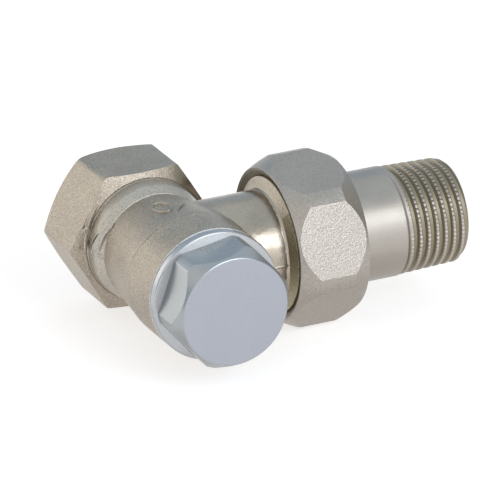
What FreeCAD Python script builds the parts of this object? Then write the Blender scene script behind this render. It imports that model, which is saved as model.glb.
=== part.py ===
import FreeCAD, Part
import math
import os

# Angle-pattern 1/2 inch lockshield valve, lying on its side. All lengths are in millimetres.
#
# Frame: the origin is the centre of the inlet mouth. The inlet opens towards +Y, the cap is on
# the same axis and faces -Y, the tail for the radiator points along +X, and +Z is up.
# Every station below is measured from the centre of the valve, where the cap axis and the tail
# axis cross: on the cap axis it grows towards the cap, on the tail axis towards the radiator.

# Centre distances
centre_to_inlet = 29.0
centre_to_rim = 16.75
centre_to_tail_end = 57.6

# Pipe threads: 14 turns per inch, 55 degree flanks
pipe_thread_pitch = 1.8143
pipe_thread_depth = 1.16
pipe_thread_half_angle = 27.5
inlet_thread_radius = 9.3155
inlet_thread_length = 13.0
inlet_mouth_radius = 10.0
inlet_mouth_depth = 0.45
tail_gauge_radius = 10.4775
tail_gauge_length = 8.2
tail_blank_radius = 10.52
tail_thread_length = 13.85
tail_thread_taper = 1.0 / 32.0
union_thread_radius = 13.22

# Forged body, outside
inlet_hex_across_flats = 27.0
inlet_hex_length = 15.15
inlet_hex_face_radius = 12.5
inlet_hex_mouth_face_radius = 12.9
hex_mouth_chamfer_slope = 0.8
hex_body_chamfer_slope = 0.5
collar_radius = 11.4
collar_length = 5.35
neck_radius = 10.85
swell_radius = 11.35
swell_to_centre = 5.0
middle_radius = 12.05
barrel_radius = 12.85
barrel_length = 10.1
rim_chamfer = 0.3
branch_radius = 10.9
union_thread_start = 20.3
union_thread_end = 28.9

# Body, inside
waterway_radius = 7.5
port_radius = 4.5
port_length = 4.0
centre_to_seat = 7.7
seat_lip_radius = 5.7
seat_lip_height = 0.8
chamber_radius = 8.0
chamber_to_centre = 6.3
branch_bore_radius = 6.2
spigot_bore_radius = 8.6
spigot_bore_length = 6.9
cone_seat_radius = 10.4
cone_seat_depth = 1.2

# Bonnet
bonnet_nose_radius = 9.0
bonnet_nose_length = 4.2
bonnet_thread_radius = 10.0
bonnet_flange_radius = 11.0
bonnet_flange_thickness = 1.5
bonnet_boss_radius = 8.0
bonnet_boss_length = 7.8
bonnet_flats = 15.2
seal_bore_radius = 5.0
seal_bore_length = 7.1
spindle_thread_radius = 6.0

# Spindle, plug, seal and memory screw
spindle_stroke = 3.5
spindle_thread_length = 3.3
spindle_stem_radius = 4.9
spindle_head_radius = 6.9
spindle_head_thickness = 2.0
key_across_flats = 5.0
key_socket_depth = 5.0
seal_disc_radius = 6.0
seal_disc_thickness = 1.8
seal_skirt_depth = 1.0
plug_radius = 4.2
plug_tip_radius = 2.4
plug_length = 4.6
plug_stud_radius = 2.0
plug_stud_length = 6.5
memory_screw_length = 2.6
memory_screw_bore_radius = 3.2
memory_slot_width = 1.6
memory_slot_depth = 1.1
retaining_ring_thickness = 0.5
retaining_ring_depth = 0.7
retaining_ring_width = 1.2
retaining_ring_opening = 40.0

# Lockshield cap
cap_flange_radius = 12.85
cap_flange_thickness = 2.0
cap_flange_slope = 0.35
cap_hex_across_flats = 22.0
cap_hex_turn = 9.5
cap_bar_radius = 12.2
cap_face_radius = 10.7
cap_height = 10.5
cap_chamfer_length = 2.62
cap_edge_radius = 0.35

# Union nut
nut_start = 19.3
nut_length = 14.6
nut_across_flats = 30.5
nut_bar_radius = 16.8
nut_end_face_radius = 15.0
nut_chamfer_length = 3.6
nut_turn = 17.2
corner_to_flat = 30.0
nut_lip_thickness = 2.6
nut_mouth_radius = 14.4
nut_mouth_depth = 0.8

# Tailpiece
tail_barrel_radius = 10.75
tail_collar_radius = 12.0
tail_collar_thickness = 2.2
tail_bore_radius = 6.5
tail_key_across_flats = 13.0
tail_key_depth = 10.0
tail_end_radius = 9.25
tail_end_chamfer = 0.5

# O-rings: the section radius of each ring, and how much wider its groove is
bonnet_ring_section = 0.55
spindle_ring_section = 0.62
spindle_ring_pitch = 1.8
memory_ring_section = 0.4
cap_ring_section = 0.45
cap_ring_radius = 11.8
tail_ring_section = 0.55
ring_groove_play = 0.4
ring_skin = 0.015

# Clearances
thread_clearance = 0.05
sliding_clearance = 0.1
seat_clearance = 0.02
face_clearance = 0.1
cap_to_rim = 0.15
cap_to_bonnet = 0.3
nut_to_tail = 0.15
groove_play = 0.05

# Places that follow from the sizes above
UP = FreeCAD.Vector(0, 0, 1)
CAP_AXIS = FreeCAD.Vector(0, -1, 0)
TAIL_AXIS = FreeCAD.Vector(1, 0, 0)
CENTRE = FreeCAD.Vector(0, -centre_to_inlet, 0)

mouth_station = -centre_to_inlet
hex_end = mouth_station + inlet_hex_length
collar_end = hex_end + collar_length
barrel_start = centre_to_rim - barrel_length
seat_station = -centre_to_seat
chamber_floor = seat_station - seat_lip_height
port_start = chamber_floor - port_length

bonnet_flange_start = centre_to_rim - bonnet_flange_thickness - face_clearance
bonnet_nose_start = chamber_to_centre + 2 * face_clearance
bonnet_nose_end = bonnet_nose_start + bonnet_nose_length
bonnet_top = centre_to_rim - face_clearance + bonnet_boss_length
seal_bore_end = bonnet_nose_start + seal_bore_length

seal_face = seat_station + seat_clearance
spindle_head_start = seal_face + seal_disc_thickness
spindle_head_end = spindle_head_start + spindle_head_thickness
spindle_thread_start = seal_bore_end + sliding_clearance
spindle_top = spindle_thread_start + spindle_thread_length
memory_start = spindle_top + spindle_stroke + sliding_clearance
memory_top = memory_start + memory_screw_length
retaining_start = memory_top + sliding_clearance

flange_rear = centre_to_rim + cap_to_rim
flange_front = flange_rear + cap_flange_thickness
flange_rim = flange_front - cap_flange_slope
cap_front = flange_rear + cap_height
cap_ceiling = bonnet_top + cap_to_bonnet

nut_end = nut_start + nut_length
nut_lip_start = nut_end - nut_lip_thickness
tail_collar_end = nut_lip_start - seat_clearance
tail_collar_start = tail_collar_end - tail_collar_thickness
spigot_floor = union_thread_end - spigot_bore_length
spigot_start = spigot_floor + face_clearance
spigot_radius = spigot_bore_radius - sliding_clearance
tail_thread_start = centre_to_tail_end - tail_thread_length


def turned(profile, axis):
    """A solid of revolution about an axis through the centre, from (station, radius) points."""
    points = [CENTRE + axis * station + UP * radius for station, radius in profile]
    outline = Part.makePolygon(points + [points[0]])
    return Part.Face(outline).revolve(CENTRE, axis, 360)


def rod(start, end, radius, axis):
    """A plain cylinder between two stations."""
    return Part.makeCylinder(radius, end - start, CENTRE + axis * start, axis)


def washer(start, end, inner_radius, outer_radius, axis):
    """A plain ring between two stations."""
    profile = [(start, inner_radius), (start, outer_radius), (end, outer_radius), (end, inner_radius)]
    return turned(profile, axis)


def hexagon(start, end, across_flats, turn, axis):
    """A hexagonal bar. turn is the angle of its first corner above the other axis."""
    level = TAIL_AXIS if axis == CAP_AXIS else CAP_AXIS
    radius = across_flats / math.sqrt(3)
    points = []
    for corner in range(6):
        angle = math.radians(turn + 60 * corner)
        around = level * (radius * math.cos(angle)) + UP * (radius * math.sin(angle))
        points.append(CENTRE + axis * start + around)
    outline = Part.makePolygon(points + [points[0]])
    return Part.Face(outline).extrude(axis * (end - start))


def o_ring(station, inner_radius, outer_radius, section, axis):
    """A round ring that lies midway between its groove's floor and the wall that it seals."""
    middle = (inner_radius + outer_radius) / 2
    return Part.makeTorus(middle, section, CENTRE + axis * station, axis)


def ring_groove(station, inner_radius, outer_radius, section, axis):
    """The room that a groove for a round ring takes."""
    half = section + ring_groove_play / 2
    return washer(station - half, station + half, inner_radius, outer_radius, axis)


def gland_floor(wall_radius, section):
    """The radius of an O-ring groove's floor, for a ring that just fills the gap to the wall."""
    return wall_radius - 2 * section - 2 * ring_skin


def thread_ridges(start, end, crest, depth):
    """Points along a pipe thread, drawn as rings: crest gives the crest radius at a station."""
    half_groove = abs(depth) * math.tan(math.radians(pipe_thread_half_angle))
    land = pipe_thread_pitch - 2 * half_groove
    turns = int((end - start - land) / pipe_thread_pitch)
    points = []
    for turn in range(turns):
        ridge = start + turn * pipe_thread_pitch
        radius = crest(ridge + land / 2)
        points.append((ridge, radius))
        points.append((ridge + land, radius))
        points.append((ridge + land + half_groove, radius - depth))
    last = start + turns * pipe_thread_pitch
    radius = crest(last + land / 2)
    points.append((last, radius))
    points.append((end, radius))
    return points


def valve_body():
    """Forged body: hexagonal inlet, collar, swelling middle, barrel and tail branch."""
    corner_radius = inlet_hex_across_flats / math.sqrt(3) + 1
    body_side = hex_end - hex_body_chamfer_slope * (corner_radius - inlet_hex_face_radius)
    mouth_side = mouth_station + hex_mouth_chamfer_slope * (corner_radius - inlet_hex_mouth_face_radius)
    envelope = turned(
        [
            (mouth_station, 0),
            (mouth_station, inlet_hex_mouth_face_radius),
            (mouth_side, corner_radius),
            (body_side, corner_radius),
            (hex_end, inlet_hex_face_radius),
            (hex_end, 0),
        ],
        CAP_AXIS,
    )
    inlet_hex = hexagon(mouth_station, hex_end, inlet_hex_across_flats, 0, CAP_AXIS).common(envelope)
    run = turned(
        [
            (hex_end, 0),
            (hex_end, collar_radius),
            (collar_end, collar_radius),
            (collar_end, neck_radius),
            (-swell_to_centre, swell_radius),
            (0, middle_radius),
            (barrel_start, barrel_radius),
            (centre_to_rim - rim_chamfer, barrel_radius),
            (centre_to_rim, barrel_radius - rim_chamfer),
            (centre_to_rim, 0),
        ],
        CAP_AXIS,
    )
    branch = rod(0, union_thread_start, branch_radius, TAIL_AXIS)
    male_thread = rod(union_thread_start, union_thread_end, union_thread_radius, TAIL_AXIS)
    forging = inlet_hex.fuse([run, branch, male_thread]).removeSplitter()
    return forging.cut([cap_axis_bores(), tail_axis_bores()])


def cap_axis_bores():
    """Everything hollow on the cap axis, from the inlet mouth to the rim of the barrel."""
    thread_start = mouth_station + inlet_mouth_depth
    thread_end = mouth_station + inlet_thread_length
    ridges = thread_ridges(thread_start, thread_end, lambda station: inlet_thread_radius, -pipe_thread_depth)
    return turned(
        [(mouth_station, 0), (mouth_station, inlet_mouth_radius)]
        + ridges
        + [
            (thread_end, waterway_radius),
            (port_start, waterway_radius),
            (port_start, port_radius),
            (seat_station, port_radius),
            (seat_station, seat_lip_radius),
            (chamber_floor, seat_lip_radius),
            (chamber_floor, chamber_radius),
            (chamber_to_centre, chamber_radius),
            (chamber_to_centre, bonnet_nose_radius),
            (bonnet_nose_end, bonnet_nose_radius),
            (bonnet_nose_end, bonnet_thread_radius),
            (bonnet_flange_start, bonnet_thread_radius),
            (bonnet_flange_start, bonnet_flange_radius + sliding_clearance),
            (centre_to_rim, bonnet_flange_radius + sliding_clearance),
            (centre_to_rim, 0),
        ],
        CAP_AXIS,
    )


def tail_axis_bores():
    """The tail branch's waterway, the spigot bore and the cone seat at its mouth."""
    return turned(
        [
            (0, 0),
            (0, branch_bore_radius),
            (spigot_floor, branch_bore_radius),
            (spigot_floor, spigot_bore_radius),
            (union_thread_end - cone_seat_depth, spigot_bore_radius),
            (union_thread_end, cone_seat_radius),
            (union_thread_end, 0),
        ],
        TAIL_AXIS,
    )


def bonnet():
    """Headwork: screwed into the barrel, it guides the spindle and carries the cap's thread."""
    groove_floor = gland_floor(bonnet_nose_radius, bonnet_ring_section)
    outside = turned(
        [
            (bonnet_nose_start, 0),
            (bonnet_nose_start, bonnet_nose_radius - sliding_clearance),
            (bonnet_nose_end + face_clearance, bonnet_nose_radius - sliding_clearance),
            (bonnet_nose_end + face_clearance, bonnet_thread_radius - thread_clearance),
            (bonnet_flange_start, bonnet_thread_radius - thread_clearance),
            (bonnet_flange_start, bonnet_flange_radius),
            (centre_to_rim - face_clearance, bonnet_flange_radius),
            (centre_to_rim - face_clearance, bonnet_boss_radius),
            (bonnet_top, bonnet_boss_radius),
            (bonnet_top, 0),
        ],
        CAP_AXIS,
    )
    bore = turned(
        [
            (bonnet_nose_start, 0),
            (bonnet_nose_start, seal_bore_radius),
            (seal_bore_end, seal_bore_radius),
            (seal_bore_end, spindle_thread_radius),
            (bonnet_top, spindle_thread_radius),
            (bonnet_top, 0),
        ],
        CAP_AXIS,
    )
    seal_groove = ring_groove(
        bonnet_ring_station, groove_floor, bonnet_nose_radius, bonnet_ring_section, CAP_AXIS
    )
    ring_seat = washer(
        retaining_start - groove_play,
        retaining_start + retaining_ring_thickness + groove_play,
        spindle_thread_radius - groove_play,
        spindle_thread_radius + retaining_ring_depth,
        CAP_AXIS,
    )
    boss_start = centre_to_rim - face_clearance
    flats = hexagon(boss_start, bonnet_top, bonnet_boss_radius * 4, 0, CAP_AXIS)
    slab = Part.makeBox(
        bonnet_boss_radius * 4,
        bonnet_boss_length,
        bonnet_flats,
        CENTRE + CAP_AXIS * bonnet_top + FreeCAD.Vector(-bonnet_boss_radius * 2, 0, -bonnet_flats / 2),
    )
    return outside.cut([bore, seal_groove, ring_seat, flats.cut(slab)])


def regulating_spindle():
    """Threaded spindle: key socket on top, two seal grooves, and a cup for the seat seal."""
    groove_floor = gland_floor(seal_bore_radius, spindle_ring_section)
    skirt_start = spindle_head_start - seal_skirt_depth
    outside = turned(
        [
            (skirt_start, seal_disc_radius + groove_play),
            (skirt_start, spindle_head_radius),
            (spindle_head_end, spindle_head_radius),
            (spindle_head_end, spindle_stem_radius),
            (spindle_thread_start, spindle_stem_radius),
            (spindle_thread_start, spindle_thread_radius - thread_clearance),
            (spindle_top, spindle_thread_radius - thread_clearance),
            (spindle_top, 0),
            (spindle_head_start, 0),
            (spindle_head_start, seal_disc_radius + groove_play),
        ],
        CAP_AXIS,
    )
    grooves = [
        ring_groove(station, groove_floor, seal_bore_radius, spindle_ring_section, CAP_AXIS)
        for station in spindle_ring_stations
    ]
    stud_hole = rod(
        spindle_head_start,
        spindle_head_start + plug_stud_length,
        plug_stud_radius + thread_clearance,
        CAP_AXIS,
    )
    socket = hexagon(spindle_top - key_socket_depth, spindle_top, key_across_flats, 0, CAP_AXIS)
    return outside.cut(grooves + [stud_hole, socket])


def seat_seal():
    """Soft ring in the spindle's cup that closes on the seat's lip."""
    return washer(
        seal_face,
        spindle_head_start,
        plug_stud_radius + thread_clearance,
        seal_disc_radius,
        CAP_AXIS,
    )


def throttle_plug():
    """Tapered plug that holds the seal on the spindle and throttles the port."""
    return turned(
        [
            (seal_face - plug_length, 0),
            (seal_face - plug_length, plug_tip_radius),
            (seal_face - seat_lip_height, plug_radius),
            (seal_face, plug_radius),
            (seal_face, plug_stud_radius),
            (spindle_head_start + plug_stud_length - sliding_clearance, plug_stud_radius),
            (spindle_head_start + plug_stud_length - sliding_clearance, 0),
        ],
        CAP_AXIS,
    )


def memory_screw():
    """Slotted ring above the spindle that stops it at the set opening."""
    radius = spindle_thread_radius - thread_clearance
    ring = washer(memory_start, memory_top, memory_screw_bore_radius, radius, CAP_AXIS)
    groove_floor = gland_floor(spindle_thread_radius, memory_ring_section)
    groove = ring_groove(
        memory_ring_station, groove_floor, spindle_thread_radius, memory_ring_section, CAP_AXIS
    )
    slot = Part.makeBox(
        memory_slot_width,
        memory_slot_depth,
        radius * 4,
        CENTRE + CAP_AXIS * memory_top + FreeCAD.Vector(-memory_slot_width / 2, 0, -radius * 2),
    )
    return ring.cut([groove, slot])


def retaining_ring():
    """Open spring ring in the bonnet's groove, above the memory screw."""
    outer = spindle_thread_radius + retaining_ring_depth - groove_play
    end = retaining_start + retaining_ring_thickness
    ring = washer(retaining_start, end, outer - retaining_ring_width, outer, CAP_AXIS)
    half_opening = outer * math.tan(math.radians(retaining_ring_opening / 2))
    points = [
        CENTRE + CAP_AXIS * (retaining_start - groove_play),
        CENTRE + CAP_AXIS * (retaining_start - groove_play) + FreeCAD.Vector(outer * 2, 0, half_opening * 2),
        CENTRE + CAP_AXIS * (retaining_start - groove_play) + FreeCAD.Vector(outer * 2, 0, -half_opening * 2),
    ]
    wedge = Part.Face(Part.makePolygon(points + [points[0]]))
    return ring.cut(wedge.extrude(CAP_AXIS * (retaining_ring_thickness + 2 * groove_play)))


def lockshield_cap():
    """Flanged hexagonal cap, hollow over the bonnet's boss, with a seal groove in its flange."""
    flange = turned(
        [
            (flange_rear, 0),
            (flange_rear, cap_flange_radius - cap_edge_radius),
            (flange_rear + cap_edge_radius, cap_flange_radius),
            (flange_rim - cap_edge_radius, cap_flange_radius),
            (flange_rim, cap_flange_radius - cap_edge_radius),
            (flange_front, cap_hex_across_flats / 2),
            (flange_front, 0),
        ],
        CAP_AXIS,
    )
    envelope = turned(
        [
            (flange_rim, 0),
            (flange_rim, cap_bar_radius),
            (cap_front - cap_chamfer_length, cap_bar_radius),
            (cap_front, cap_face_radius),
            (cap_front, 0),
        ],
        CAP_AXIS,
    )
    head = hexagon(flange_rim, cap_front, cap_hex_across_flats, cap_hex_turn, CAP_AXIS).common(envelope)
    hollow = rod(flange_rear, cap_ceiling, bonnet_boss_radius + thread_clearance, CAP_AXIS)
    groove = washer(
        flange_rear,
        centre_to_rim + 2 * cap_ring_section + 2 * ring_skin + groove_play,
        cap_ring_radius - cap_ring_section - ring_groove_play / 4,
        cap_ring_radius + cap_ring_section + ring_groove_play / 4,
        CAP_AXIS,
    )
    return flange.fuse(head).removeSplitter().cut([hollow, groove])


def union_nut():
    """Hexagonal nut cut from a round bar, with wide chamfers and a lip behind the tail's collar."""
    chamfer_end = nut_start + nut_chamfer_length
    chamfer_start = nut_end - nut_chamfer_length
    envelope = turned(
        [
            (nut_start, 0),
            (nut_start, nut_end_face_radius),
            (chamfer_end, nut_bar_radius),
            (chamfer_start, nut_bar_radius),
            (nut_end, nut_end_face_radius),
            (nut_end, 0),
        ],
        TAIL_AXIS,
    )
    bar = hexagon(nut_start, nut_end, nut_across_flats, nut_turn + corner_to_flat, TAIL_AXIS).common(envelope)
    thread_radius = union_thread_radius + thread_clearance
    bore = turned(
        [
            (nut_start, 0),
            (nut_start, nut_mouth_radius),
            (nut_start + nut_mouth_depth, thread_radius),
            (nut_lip_start, thread_radius),
            (nut_lip_start, tail_barrel_radius + nut_to_tail),
            (nut_end, tail_barrel_radius + nut_to_tail),
            (nut_end, 0),
        ],
        TAIL_AXIS,
    )
    return bar.cut(bore)


def tail_crest(station):
    """Crest radius of the taper thread, no larger than the turned blank it is cut on."""
    gauge_plane = centre_to_tail_end - tail_gauge_length
    return min(tail_blank_radius, tail_gauge_radius - (station - gauge_plane) * tail_thread_taper)


def tailpiece():
    """Radiator tail: spigot, collar, plain barrel, taper thread and a broached key socket."""
    cone_start = union_thread_end - cone_seat_depth
    thread_end = centre_to_tail_end - tail_end_chamfer
    outside = turned(
        [
            (spigot_start, 0),
            (spigot_start, spigot_radius),
            (cone_start, spigot_radius),
            (tail_collar_start, cone_seat_radius - sliding_clearance),
            (tail_collar_start, tail_collar_radius),
            (tail_collar_end, tail_collar_radius),
            (tail_collar_end, tail_barrel_radius),
            (tail_thread_start - tail_end_chamfer, tail_barrel_radius),
        ]
        + thread_ridges(tail_thread_start, thread_end, tail_crest, pipe_thread_depth)
        + [(centre_to_tail_end, tail_end_radius), (centre_to_tail_end, 0)],
        TAIL_AXIS,
    )
    bore = rod(spigot_start, centre_to_tail_end, tail_bore_radius, TAIL_AXIS)
    key_start = centre_to_tail_end - tail_key_depth
    key = hexagon(key_start, centre_to_tail_end, tail_key_across_flats, 0, TAIL_AXIS)
    groove = ring_groove(
        tail_ring_station,
        gland_floor(spigot_bore_radius, tail_ring_section),
        spigot_bore_radius,
        tail_ring_section,
        TAIL_AXIS,
    )
    return outside.cut([bore, key, groove])


def sealing_ring(station, wall_radius, section, axis):
    """An O-ring that lies in its groove and just meets the wall around it."""
    return o_ring(station, gland_floor(wall_radius, section), wall_radius, section, axis)


bonnet_ring_station = bonnet_nose_start + bonnet_nose_length / 2
first_spindle_ring = bonnet_nose_start + spindle_ring_section + ring_groove_play
spindle_ring_stations = [first_spindle_ring, first_spindle_ring + spindle_ring_pitch]
memory_ring_station = memory_start + (memory_screw_length - memory_slot_depth) / 2
tail_ring_station = (spigot_start + union_thread_end - cone_seat_depth) / 2
cap_ring_station = centre_to_rim + cap_ring_section + ring_skin

nodes = {
    "valve_body": valve_body(),
    "bonnet": bonnet(),
    "bonnet_o_ring": sealing_ring(bonnet_ring_station, bonnet_nose_radius, bonnet_ring_section, CAP_AXIS),
    "regulating_spindle": regulating_spindle(),
    "seat_seal": seat_seal(),
    "throttle_plug": throttle_plug(),
    "spindle_o_ring_lower": sealing_ring(
        spindle_ring_stations[0], seal_bore_radius, spindle_ring_section, CAP_AXIS
    ),
    "spindle_o_ring_upper": sealing_ring(
        spindle_ring_stations[1], seal_bore_radius, spindle_ring_section, CAP_AXIS
    ),
    "memory_screw": memory_screw(),
    "memory_o_ring": sealing_ring(
        memory_ring_station, spindle_thread_radius, memory_ring_section, CAP_AXIS
    ),
    "retaining_ring": retaining_ring(),
    "lockshield_cap": lockshield_cap(),
    "cap_o_ring": Part.makeTorus(
        cap_ring_radius, cap_ring_section, CENTRE + CAP_AXIS * cap_ring_station, CAP_AXIS
    ),
    "union_nut": union_nut(),
    "tailpiece": tailpiece(),
    "tailpiece_o_ring": sealing_ring(
        tail_ring_station, spigot_bore_radius, tail_ring_section, TAIL_AXIS
    ),
}

os.makedirs("parts", exist_ok=True)
for name, shape in nodes.items():
    shape.exportStep("parts/" + name + ".step")
    print(name, "solids", len(shape.Solids), "valid", shape.isValid(), "volume", round(shape.Volume, 1))
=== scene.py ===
# %% [markdown]
# A lockshield valve sits on the return side of a radiator. It is a forged brass body, plated with
# nickel, with a hexagonal inlet for the pipe, a capped headwork and a union that holds the
# radiator's tail. This lesson dresses the exact CAD model of that valve with finer meshes and
# real finishes. The CAD model is loaded first, because the main places are measured on it.

# %% Load the frame
import math

import bmesh
import bpy
from mathutils import Matrix, Vector


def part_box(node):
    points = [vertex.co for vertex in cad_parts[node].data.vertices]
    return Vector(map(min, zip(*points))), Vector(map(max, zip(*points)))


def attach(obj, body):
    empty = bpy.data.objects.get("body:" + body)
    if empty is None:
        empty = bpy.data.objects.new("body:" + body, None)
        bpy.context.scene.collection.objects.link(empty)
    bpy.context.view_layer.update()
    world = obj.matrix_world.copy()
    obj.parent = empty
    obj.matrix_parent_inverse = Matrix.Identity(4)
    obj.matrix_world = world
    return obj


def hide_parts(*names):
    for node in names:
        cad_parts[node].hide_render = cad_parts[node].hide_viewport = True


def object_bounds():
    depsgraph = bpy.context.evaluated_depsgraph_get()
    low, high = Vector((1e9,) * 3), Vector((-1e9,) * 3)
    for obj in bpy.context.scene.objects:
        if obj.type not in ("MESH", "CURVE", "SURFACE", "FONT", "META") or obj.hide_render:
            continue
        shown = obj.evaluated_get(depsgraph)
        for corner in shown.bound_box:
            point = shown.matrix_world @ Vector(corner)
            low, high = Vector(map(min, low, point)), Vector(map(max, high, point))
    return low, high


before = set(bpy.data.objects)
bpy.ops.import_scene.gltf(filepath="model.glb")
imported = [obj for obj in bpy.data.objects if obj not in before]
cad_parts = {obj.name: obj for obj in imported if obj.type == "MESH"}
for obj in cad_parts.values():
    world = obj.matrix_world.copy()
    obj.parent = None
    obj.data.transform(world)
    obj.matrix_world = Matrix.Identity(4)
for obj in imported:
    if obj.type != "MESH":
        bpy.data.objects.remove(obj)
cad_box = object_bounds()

# %% [markdown]
# All the turned pieces of the valve share two axes that cross in the middle of the body. The cap
# axis runs from the pipe to the cap and the tail axis runs to the radiator. Lengths are written in
# millimetres, as on a drawing, and each finished mesh is shrunk to metres in one go. Working in
# millimetres also keeps the bmesh operators away from tiny numbers, where merging goes wrong.

# %% Axes and centre
MILLIMETRE = 0.001
UP = Vector((0, 0, 1))
CAP_AXIS = Vector((0, -1, 0))
TAIL_AXIS = Vector((1, 0, 0))


def node_span(node, side):
    """Lowest and highest place of a CAD node along one side, in millimetres."""
    low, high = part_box(node)
    return low[side] / MILLIMETRE, high[side] / MILLIMETRE


def cap_axis_span(node):
    """First and last station of a CAD node on the cap axis, counted from the centre."""
    low, high = node_span(node, 1)
    return -(high - CENTRE.y), -(low - CENTRE.y)


tail_low, tail_high = node_span("tailpiece", 1)
CENTRE = Vector((0, (tail_low + tail_high) / 2, 0))
inlet_mouth, barrel_rim = cap_axis_span("valve_body")
cap_rear, cap_front = cap_axis_span("lockshield_cap")
nut_start, nut_end = node_span("union_nut", 0)
spigot_start, tail_end = node_span("tailpiece", 0)
print("centre", CENTRE.y, "inlet", inlet_mouth, "rim", barrel_rim, "cap", cap_rear, cap_front)
print("nut", nut_start, nut_end, "tail", spigot_start, tail_end)

# %% [markdown]
# Four small tools make nearly every piece. One spins a profile round an axis, as a lathe does. One
# makes a length of hexagon bar. One joins or cuts two solids with a Boolean, as a mill would. The
# last one winds a thread's groove. Real parts are made this way too, so their edges fall in the
# same places.

# %% Drawing and sweeping a line
MERGE_DISTANCE = 0.0005


def merged(shape):
    """Merges what a sweep left double and turns every face outwards."""
    bmesh.ops.remove_doubles(shape, verts=shape.verts, dist=MERGE_DISTANCE)
    bmesh.ops.recalc_face_normals(shape, faces=shape.faces)
    return shape


def drawn(points, closed):
    """A line through some points."""
    shape = bmesh.new()
    corners = [shape.verts.new(point) for point in points]
    for pair in zip(corners, corners[1:] + corners[:1] if closed else corners[1:]):
        shape.edges.new(pair)
    return shape


def sweep(shape, centre, axis, steps, angle=2 * math.pi, rise=(0, 0, 0), closes=True):
    """Sweeps a line round an axis. For a helix, rise is how far each step moves along."""
    bmesh.ops.spin(
        shape, geom=shape.verts[:] + shape.edges[:], cent=centre, axis=axis, dvec=rise,
        angle=angle, steps=steps, use_merge=closes, use_normal_flip=False, use_duplicate=False,
    )


# %% Lathe
LATHE_STEPS = 192
BORE_STEPS = 128
ROUND_STEPS = 6


def eased(profile):
    """Rounds each corner that has a third number, which is how far the round reaches."""
    points = [Vector(corner[:2]) for corner in profile]
    line = []
    for place, corner in enumerate(profile):
        here = points[place]
        if len(corner) < 3:
            line.append(here)
            continue
        before = here + (points[place - 1] - here).normalized() * corner[2]
        after = here + (points[place + 1] - here).normalized() * corner[2]
        for step in range(ROUND_STEPS + 1):
            t = step / ROUND_STEPS
            line.append(before * (1 - t) ** 2 + here * (2 * t * (1 - t)) + after * t ** 2)
    return line


def turned(profile, axis, steps=LATHE_STEPS, ring=False):
    """Spins (station, radius) points round an axis. A third number eases that corner."""
    points = [CENTRE + axis * point.x + UP * point.y for point in eased(profile)]
    shape = drawn(points, closed=ring)
    sweep(shape, CENTRE, axis, steps)
    return merged(shape)


# %% Hexagon bar
def hexagon_bar(start, end, across_flats, turn, axis):
    """A length of hexagon bar. turn is the angle of its first corner above the level direction."""
    shape = bmesh.new()
    level = TAIL_AXIS if axis is CAP_AXIS else CAP_AXIS
    facing = Matrix((level, UP, level.cross(UP))).transposed().to_4x4()
    first_corner = Matrix.Rotation(math.radians(turn - 90), 4, "Z")
    bmesh.ops.create_circle(
        shape, cap_ends=True, segments=6, radius=across_flats / math.sqrt(3),
        matrix=Matrix.Translation(CENTRE + axis * start) @ facing @ first_corner,
    )
    grown = bmesh.ops.extrude_face_region(shape, geom=shape.faces[:])
    moved = [item for item in grown["geom"] if isinstance(item, bmesh.types.BMVert)]
    bmesh.ops.translate(shape, verts=moved, vec=axis * (end - start))
    return merged(shape)


# %% Objects and Booleans
def to_object(name, shape):
    """Puts a bmesh in a new object."""
    mesh = bpy.data.meshes.new(name)
    shape.to_mesh(mesh)
    shape.free()
    piece = bpy.data.objects.new(name, mesh)
    bpy.context.scene.collection.objects.link(piece)
    return piece


def apply_modifiers(piece):
    """Keeps the mesh that a piece's modifiers make."""
    bpy.context.view_layer.update()
    graph = bpy.context.evaluated_depsgraph_get()
    made = bpy.data.meshes.new_from_object(piece.evaluated_get(graph))
    worn = piece.data
    piece.modifiers.clear()
    piece.data = made
    bpy.data.meshes.remove(worn)


def combine(piece, tool, operation):
    """Joins, cuts or crosses a piece with a tool, which is used up."""
    cut = piece.modifiers.new("cut", "BOOLEAN")
    cut.object, cut.operation, cut.solver = tool, operation, "EXACT"
    apply_modifiers(piece)
    bpy.data.objects.remove(tool)


def round_edges(piece, width, angle, segments):
    """A small bevel on every edge sharper than an angle."""
    bevel = piece.modifiers.new("edges", "BEVEL")
    bevel.width, bevel.segments = width, segments
    bevel.limit_method, bevel.angle_limit = "ANGLE", math.radians(angle)
    bevel.use_clamp_overlap = True
    apply_modifiers(piece)


# %% Finishing a piece
SHARP_ANGLE = 32
NORMAL_WEIGHT = 80


def extent(piece):
    """Lowest and highest corner of a piece's mesh."""
    places = [point.co for point in piece.data.vertices]
    return [[pick(place[side] for place in places) for side in range(3)] for pick in (min, max)]


def finish_piece(piece, body, replaced):
    """Shades a piece, shrinks it to metres, says what it rides on and hides what it replaces."""
    piece.data.shade_smooth()
    piece.data.set_sharp_from_angle(angle=math.radians(SHARP_ANGLE))
    weighted = piece.modifiers.new("normals", "WEIGHTED_NORMAL")
    weighted.keep_sharp, weighted.weight = True, NORMAL_WEIGHT
    apply_modifiers(piece)
    piece.data.transform(Matrix.Scale(MILLIMETRE, 4))
    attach(piece, body)
    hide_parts(*replaced)
    low, high = [[round(side / MILLIMETRE, 2) for side in corner] for corner in extent(piece)]
    triangles = sum(len(face.vertices) - 2 for face in piece.data.polygons)
    print(piece.name, "triangles", triangles, "rides on", body, "from", low, "to", high)


# %% Thread groove
PIPE_PITCH = 1.8143
GROOVE_STEPS = 72
GROOVE_LIFT = 0.25


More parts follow.
